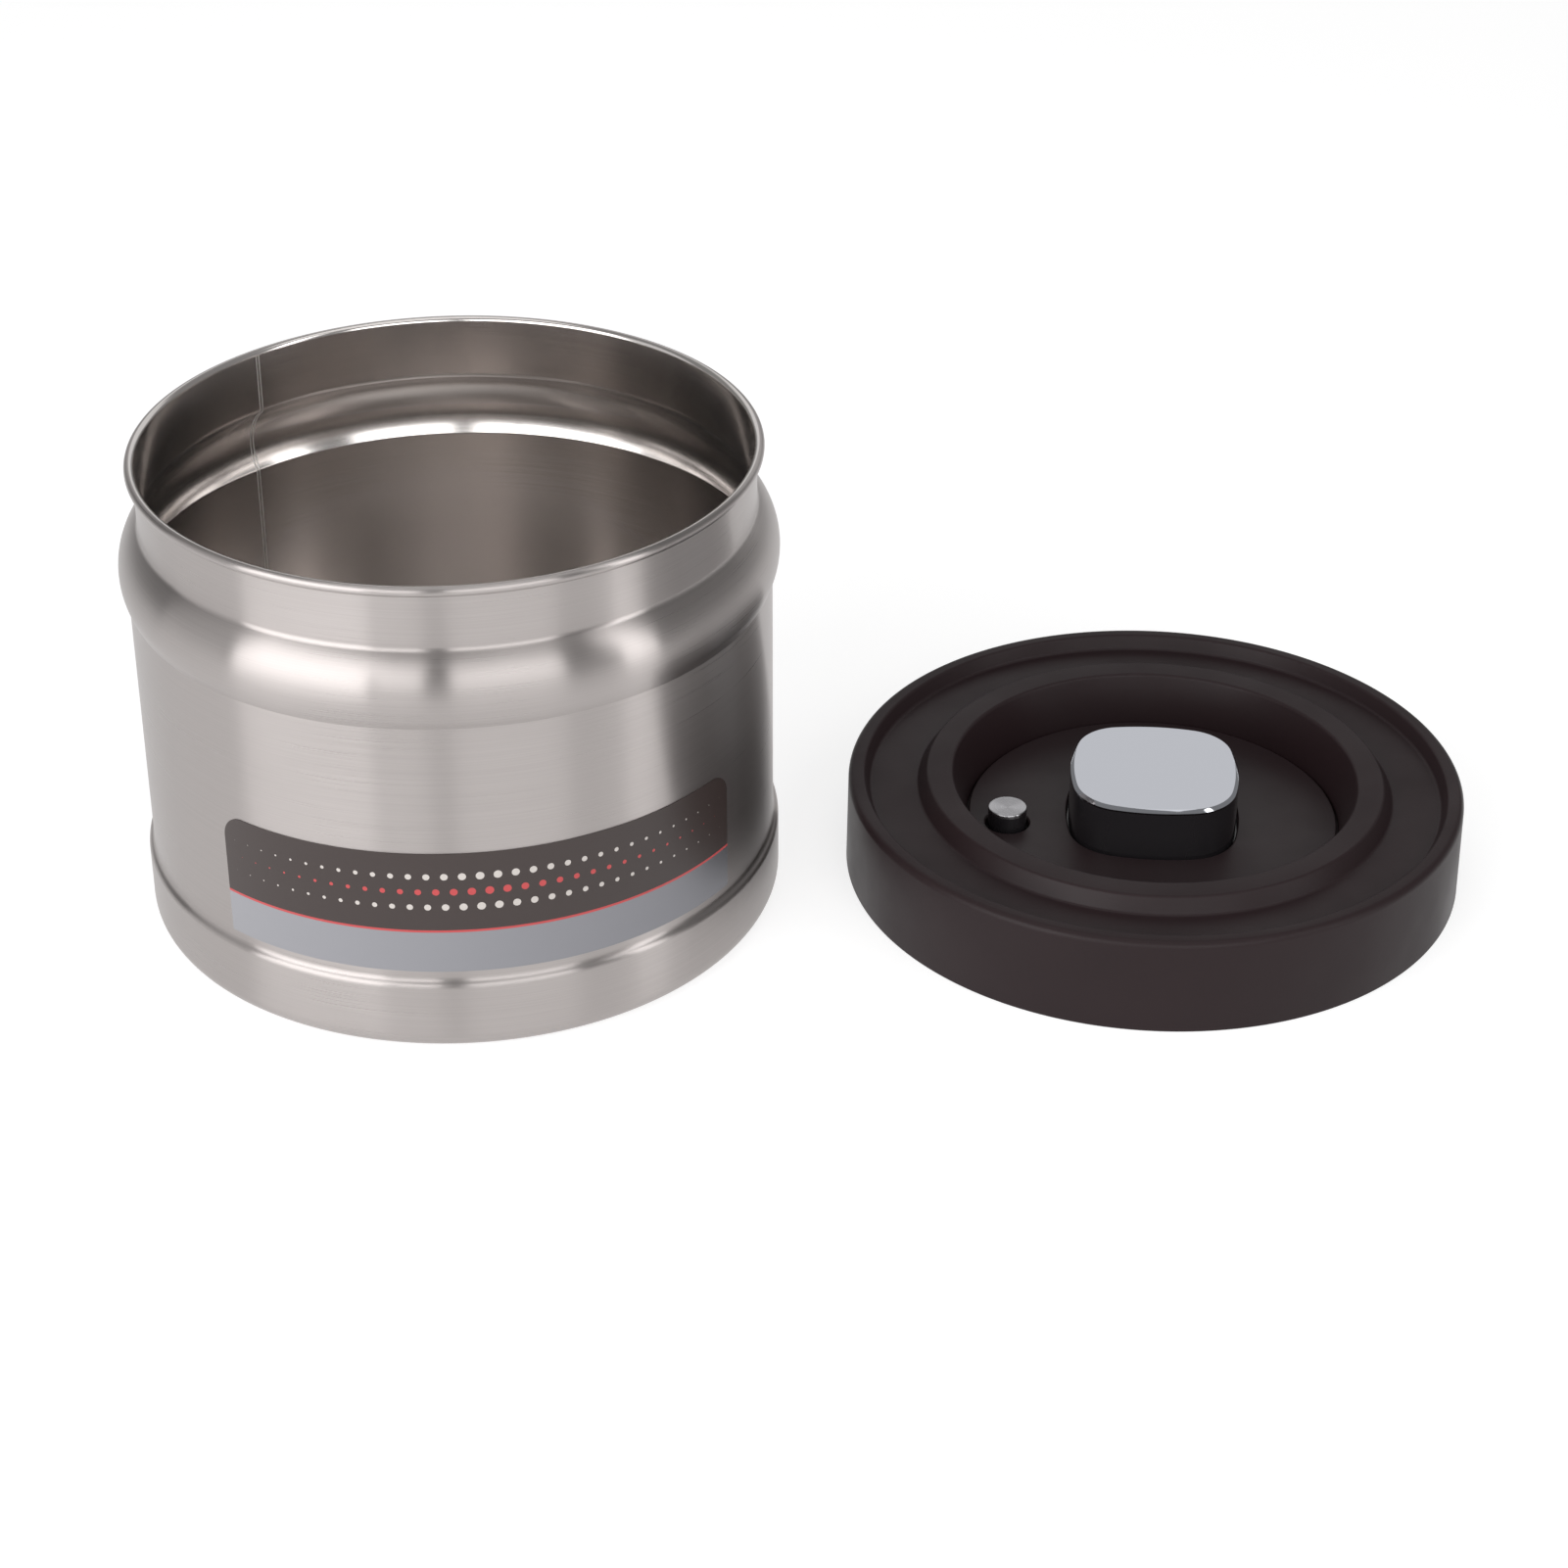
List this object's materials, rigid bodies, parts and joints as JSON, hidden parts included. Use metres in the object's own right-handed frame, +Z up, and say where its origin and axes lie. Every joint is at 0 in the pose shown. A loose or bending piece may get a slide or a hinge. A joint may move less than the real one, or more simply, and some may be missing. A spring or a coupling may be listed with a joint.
{
  "type": "vacuum seal canister",
  "caption": "Round brushed steel food canister with a curled rim and bulged shoulder, and its dark pump lid lying beside it, with a push button that draws air out and a release pin.",
  "frame": {"origin": "on the canister's axis, in the plane of the foot that it stands on", "axes": "+Z up along the canister's axis, +X towards the lid that lies beside it, -Y towards the side with the label"},
  "size_m": [0.2734, 0.1352, 0.1],
  "materials": {
    "canister_steel": "brushed",
    "base_steel": "satin",
    "label_film": "satin printed film",
    "cover_plastic": "fine grain",
    "deck_plastic": "fine grain",
    "plug_plastic": "smooth",
    "gasket_silicone": "soft satin",
    "screw_steel": "plain",
    "piston_plastic": "smooth",
    "seal_silicone": "soft satin",
    "flap_silicone": "soft satin",
    "stud_plastic": "smooth",
    "spring_steel": "drawn wire",
    "button_plastic": "gloss",
    "button_chrome": "mirror",
    "pin_plastic": "gloss",
    "pin_metal": "spun",
    "release_silicone": "soft satin",
    "foot_plastic": "smooth",
    "release_spring_steel": "drawn wire"
  },
  "bodies": {
    "canister": {"canister_wall": "canister_steel", "canister_base": "base_steel", "label_band": "label_film"},
    "lid": {"lid_cover": "cover_plastic", "pump_deck": "deck_plastic", "lid_plug": "plug_plastic", "lid_gasket": "gasket_silicone", "lid_screws": "screw_steel", "pump_piston": "piston_plastic", "piston_seal": "seal_silicone", "intake_valve": "flap_silicone", "valve_stud": "stud_plastic", "pump_spring": "spring_steel", "release_spring": "release_spring_steel"},
    "button": {"button_body": "button_plastic", "button_cap": "button_chrome"},
    "release": {"release_pin": "pin_plastic", "release_cap": "pin_metal", "release_seal": "release_silicone", "release_foot": "foot_plastic"}
  },
  "joints": [
    {"name": "lid_lift", "type": "slide", "parent": "canister", "child": "lid", "axis": [0, 0, 1], "range_m": [0, 0.12]},
    {"name": "button_press", "type": "slide", "parent": "lid", "child": "button", "axis": [0, 0, -1], "range_m": [0, 0.0055], "stiffness_N_per_m": 900, "springref_m": -0.003, "deforming": ["pump_spring"]},
    {"name": "release_press", "type": "slide", "parent": "lid", "child": "release", "axis": [0, 0, -1], "range_m": [0, 0.0016], "stiffness_N_per_m": 500, "springref_m": -0.002, "deforming": ["release_spring"]}
  ]
}
